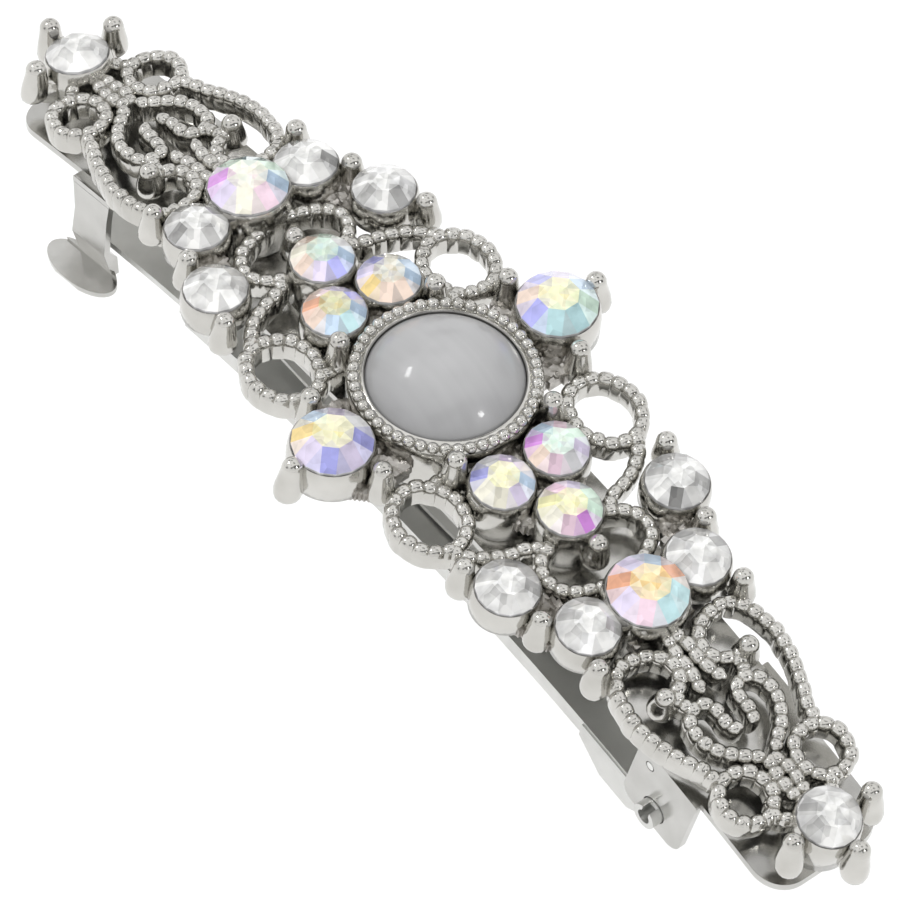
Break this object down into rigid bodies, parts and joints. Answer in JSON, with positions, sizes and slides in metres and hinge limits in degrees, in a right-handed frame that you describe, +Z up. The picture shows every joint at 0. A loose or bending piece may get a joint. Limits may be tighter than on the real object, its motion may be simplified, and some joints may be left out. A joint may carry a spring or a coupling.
{
  "type": "rhinestone hair barrette",
  "caption": "Silver filigree hair barrette set with iridescent and clear rhinestones around a round cabochon, on a snap-shut spring clip",
  "frame": {"origin": "centre of the bounding box in X and Y, at its lowest point in Z, with the clip closed", "axes": "+X runs along the clip towards the clasp hinge, +Y across it, +Z up from the hair to the jewelled face"},
  "size_m": [0.0816, 0.025, 0.018],
  "materials": {
    "silver_cast": "bright rhodium plated casting with beaded edges",
    "silver_sheet": "bright plated stamped sheet steel",
    "spring_steel": "plated spring steel, satin",
    "cats_eye": "polished grey white cat's-eye glass dome",
    "iridescent_stone": "faceted foil-backed glass with an iridescent coating",
    "clear_stone": "faceted foil-backed clear glass"
  },
  "bodies": {
    "clip_base": {"filigree_frame": "silver_cast", "cabochon": "cats_eye", "large_iridescent_stone_1": "iridescent_stone", "large_iridescent_stone_2": "iridescent_stone", "large_iridescent_stone_3": "iridescent_stone", "large_iridescent_stone_4": "iridescent_stone", "small_iridescent_stone_1": "iridescent_stone", "small_iridescent_stone_2": "iridescent_stone", "small_iridescent_stone_3": "iridescent_stone", "small_iridescent_stone_4": "iridescent_stone", "small_iridescent_stone_5": "iridescent_stone", "small_iridescent_stone_6": "iridescent_stone", "clear_stone_1": "clear_stone", "clear_stone_2": "clear_stone", "clear_stone_3": "clear_stone", "clear_stone_4": "clear_stone", "clear_stone_5": "clear_stone", "clear_stone_6": "clear_stone", "clear_stone_7": "clear_stone", "clear_stone_8": "clear_stone", "end_stone_1": "clear_stone", "end_stone_2": "clear_stone", "base_plate": "silver_sheet", "catch_saddle": "silver_sheet"},
    "catch_near": {"catch_leg_near": "silver_sheet"},
    "catch_far": {"catch_leg_far": "silver_sheet"},
    "arm": {"clasp_arm": "silver_sheet"},
    "spring": {"spring_bar": "spring_steel"}
  },
  "joints": [
    {"name": "arm_hinge", "type": "hinge", "parent": "clip_base", "child": "arm", "pos_m": [0.02715, 0, 0.00458], "axis": [0, -1, 0], "range_deg": [0, 70]},
    {"name": "spring_flex", "type": "hinge", "parent": "clip_base", "child": "spring", "pos_m": [0.0264, 0, 0.00833], "axis": [0, -1, 0], "range_deg": [0, 5]},
    {"name": "catch_leg_near_flex", "type": "hinge", "parent": "clip_base", "child": "catch_near", "pos_m": [-0.0289, -0.005, 0.00812], "axis": [-0.9801, 0, -0.1984], "range_deg": [0, 6], "stiffness_Nm_per_rad": 0.05},
    {"name": "catch_leg_far_flex", "type": "hinge", "parent": "clip_base", "child": "catch_far", "pos_m": [-0.0289, 0.005, 0.00812], "axis": [0.9801, 0, 0.1984], "range_deg": [0, 6], "stiffness_Nm_per_rad": 0.05}
  ],
  "couplings": [
    {"joint": "spring_flex", "follows": "arm_hinge", "ratio": 0.07}
  ]
}
